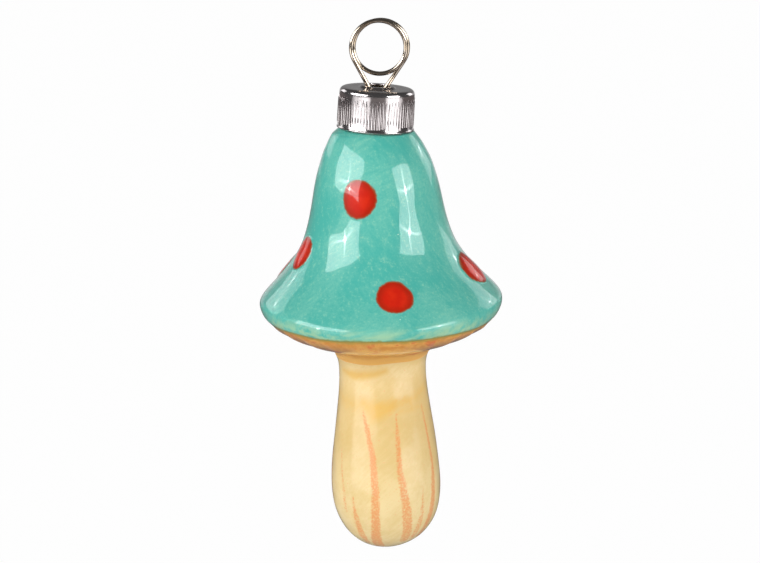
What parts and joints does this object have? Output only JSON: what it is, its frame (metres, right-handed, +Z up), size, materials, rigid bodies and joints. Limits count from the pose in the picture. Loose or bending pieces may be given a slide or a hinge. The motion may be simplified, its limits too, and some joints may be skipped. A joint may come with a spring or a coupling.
{
  "type": "hanging ceramic mushroom ornament",
  "caption": "Hanging ceramic mushroom with raised round spots, a bulbous stem, a fluted metal crown and a sprung wire eye.",
  "frame": {"origin": "centre of the hanger's eye, from which the ornament hangs", "axes": "+Z up as it hangs, +X to the right and -Y to the front as pictured; the crown, neck and hanger lean 3.1 degrees to +X and the mushroom 1.8 degrees to -X"},
  "size_m": [0.0554, 0.0554, 0.1233],
  "materials": {
    "bisque": "matt, fired white earthenware",
    "teal_glaze": "brushed turquoise under a thick clear gloss",
    "orange_glaze": "ochre orange wash under clear gloss",
    "cream_glaze": "warm cream with orange streaks under clear gloss",
    "red_glaze": "thick orange-red gloss",
    "crown_metal": "bright plated sheet metal",
    "hanger_metal": "bright spring wire"
  },
  "bodies": {
    "hanger": {"hanger_wire": "hanger_metal"},
    "crown": {"crown": "crown_metal"},
    "mushroom": {"ceramic_body": "bisque", "cap_glaze": "teal_glaze", "gill_glaze": "orange_glaze", "stem_glaze": "cream_glaze", "spot_1": "red_glaze", "spot_2": "red_glaze", "spot_3": "red_glaze", "spot_4": "red_glaze", "spot_5": "red_glaze", "spot_6": "red_glaze", "spot_7": "red_glaze", "spot_8": "red_glaze", "spot_9": "red_glaze"}
  },
  "joints": [
    {"name": "hanger_swivel", "type": "hinge", "parent": "hanger", "child": "crown", "pos_m": [0, 0, 0], "axis": [0.0541, 0, 0.9985], "continuous": true},
    {"name": "pull_off", "type": "slide", "parent": "crown", "child": "mushroom", "axis": [-0.0541, 0, -0.9985], "range_m": [0, 0.026]}
  ]
}
